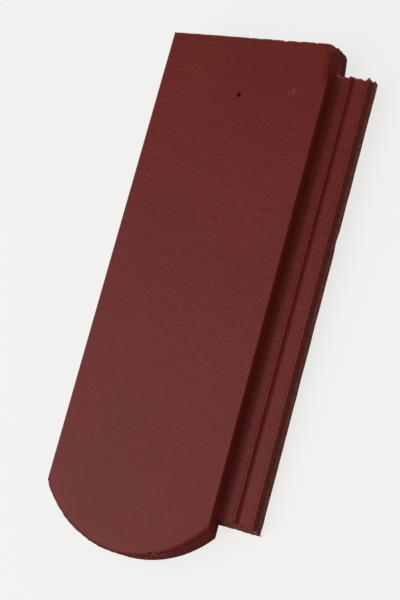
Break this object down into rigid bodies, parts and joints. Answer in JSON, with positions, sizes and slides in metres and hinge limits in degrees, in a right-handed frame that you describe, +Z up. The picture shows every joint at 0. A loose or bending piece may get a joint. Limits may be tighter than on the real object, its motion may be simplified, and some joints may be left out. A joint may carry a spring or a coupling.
{
  "type": "roof tile",
  "caption": "Half-width interlocking concrete roof tile: flat weather face, rounded tail, low underlock strip down the right side, hidden overlock, hanging nibs and a nail hole.",
  "frame": {"origin": "middle of the bounding box in plan, on the floor that the tile lies on", "axes": "+X across the tile towards the underlock strip, +Y up the tile towards the head and its nail hole, +Z up; the tile lies on its nibs and its tail, so its faces tilt about 1.4 degrees about X, with the head higher"},
  "size_m": [0.1806, 0.4198, 0.0314],
  "materials": {
    "coated_concrete": "satin"
  },
  "bodies": {
    "root": {"half_tile": "coated_concrete"}
  },
  "joints": []
}
